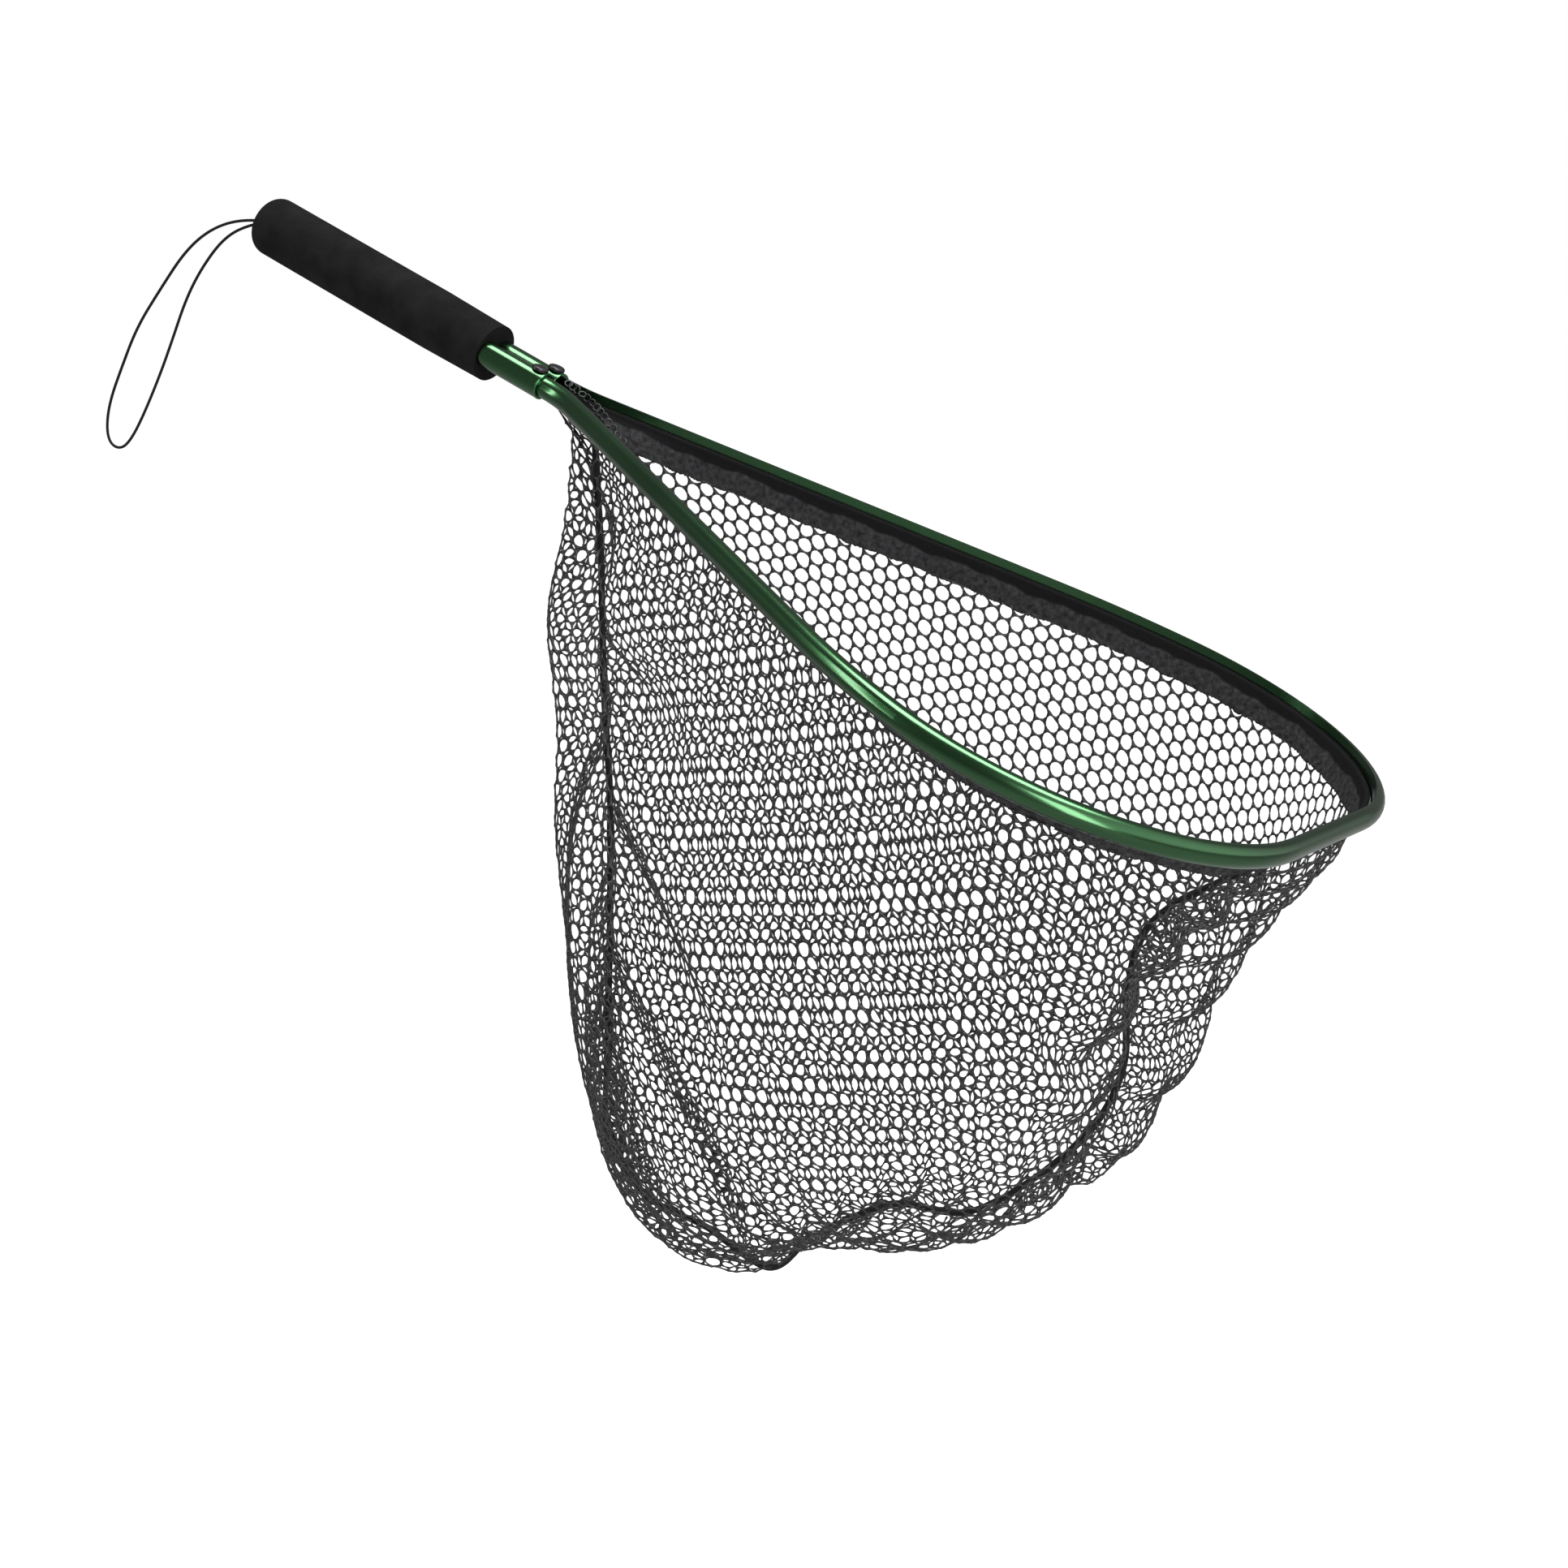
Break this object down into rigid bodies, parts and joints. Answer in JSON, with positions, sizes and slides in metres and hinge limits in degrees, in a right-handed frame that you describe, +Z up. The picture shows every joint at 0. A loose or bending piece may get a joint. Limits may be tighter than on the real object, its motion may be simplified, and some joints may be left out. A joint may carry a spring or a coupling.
{
  "type": "landing net",
  "caption": "Short-handled landing net: teardrop channel hoop riveted into a twin-barrel handle tube with foam grip, wrist cord loop and hanging coated-mesh bag.",
  "frame": {"origin": "middle of the foam grip, on the handle's axis", "axes": "+Z up, against the pull that the bag hangs by; +X from the hand towards the front of the hoop; Y across the hoop. The handle and hoop lean down towards +X by 25 degrees"},
  "size_m": [0.6863, 0.3108, 0.5109],
  "materials": {
    "green_anodised": "anodised, satin gloss",
    "rivet_metal": "dark plated",
    "foam": "closed-cell foam, matt",
    "plug_plastic": "moulded",
    "cord_elastic": "braided elastic",
    "rope_fibre": "twisted fibre",
    "tape_weave": "woven, brushed lower half",
    "net_coated": "rubber-coated knotless net",
    "binding_weave": "woven binding"
  },
  "bodies": {
    "net": {"hoop_channel": "green_anodised", "handle_tube": "green_anodised", "rivet_near": "rivet_metal", "rivet_far": "rivet_metal", "foam_grip": "foam", "butt_plug": "plug_plastic", "cord_knot": "cord_elastic", "tape_rope": "rope_fibre", "rim_tape": "tape_weave", "net_panel_near": "net_coated", "net_panel_far": "net_coated", "seam_binding": "binding_weave"},
    "wrist_loop": {"wrist_cord": "cord_elastic"}
  },
  "joints": [
    {"name": "cord_swing", "type": "hinge", "parent": "net", "child": "wrist_loop", "pos_m": [-0.07155, 0, 0.03337], "axis": [0, 1, 0], "range_deg": [-25, 35], "stiffness_Nm_per_rad": 0.012}
  ]
}
